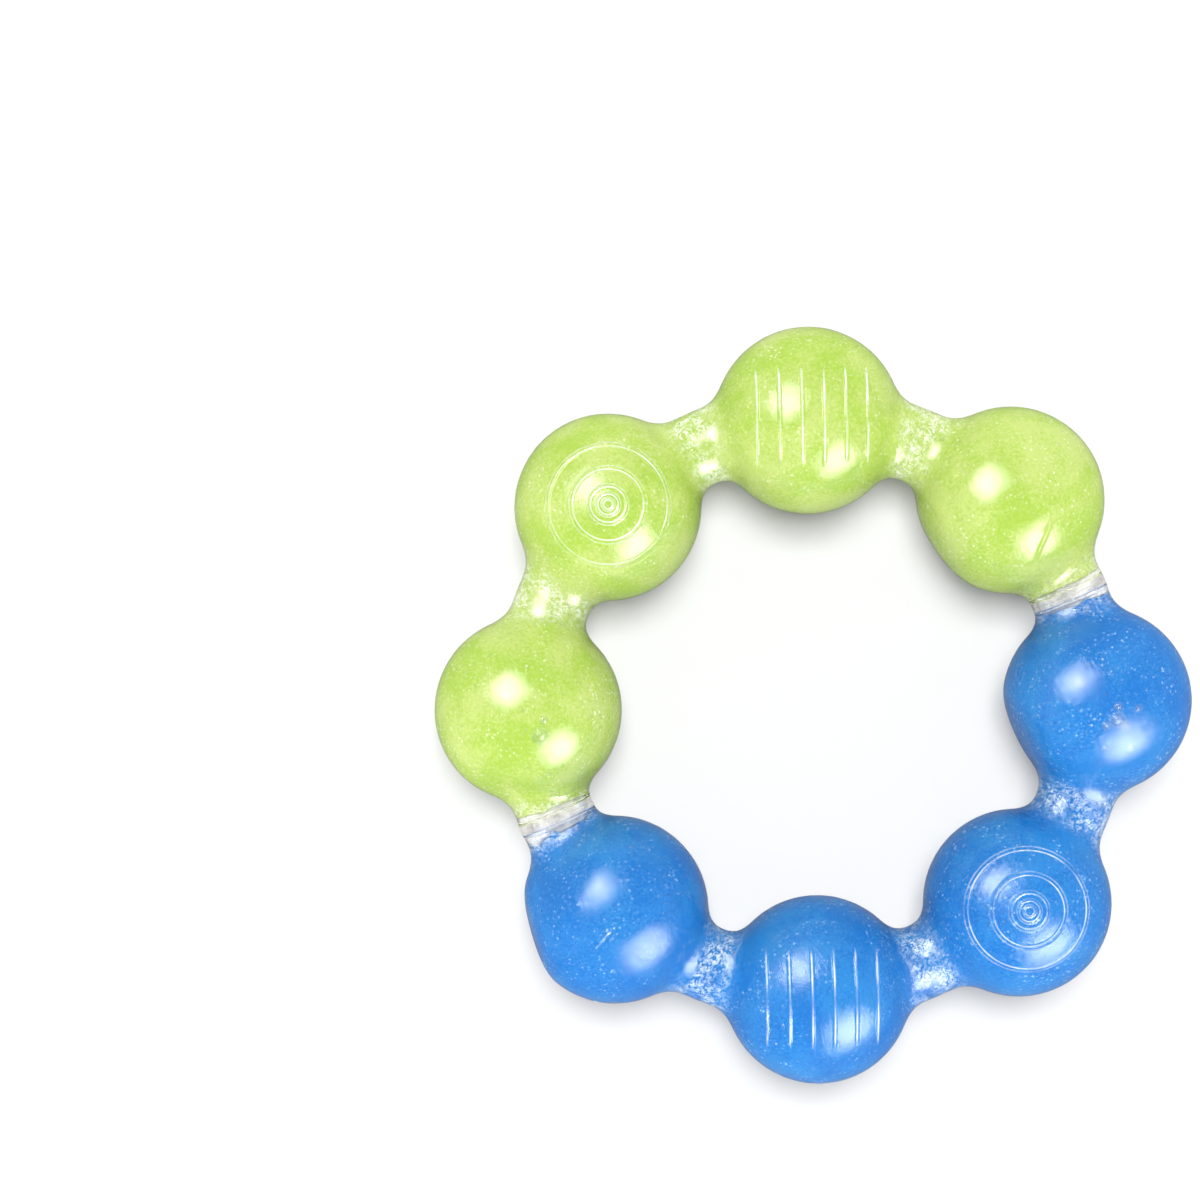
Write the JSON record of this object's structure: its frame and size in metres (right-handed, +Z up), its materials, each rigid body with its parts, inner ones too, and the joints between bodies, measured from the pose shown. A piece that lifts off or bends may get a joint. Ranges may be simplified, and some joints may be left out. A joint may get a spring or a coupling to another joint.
{
  "type": "teething ring",
  "caption": "Soft gel-filled teething ring of round beads and narrow necks, with a green and a blue half welded end to end.",
  "frame": {"origin": "on the ring's axis, at the level of the surface that it lies on", "axes": "+Z up along the ring's axis; the two welded joints lie on the X axis; the green half is on the +Y side"},
  "size_m": [0.0952, 0.0952, 0.0253],
  "materials": {
    "green_shell": "clear soft plastic, glossy",
    "blue_shell": "clear soft plastic, glossy",
    "green_gel": "coloured gel, fine bubbles",
    "blue_gel": "coloured gel, fine bubbles",
    "clear_stopper": "clear, glossy"
  },
  "bodies": {
    "root": {"green_half_shell": "green_shell", "blue_half_shell": "blue_shell", "green_gel": "green_gel", "blue_gel": "blue_gel", "green_end_stopper_right": "clear_stopper", "green_end_stopper_left": "clear_stopper", "blue_end_stopper_right": "clear_stopper", "blue_end_stopper_left": "clear_stopper"}
  },
  "joints": []
}
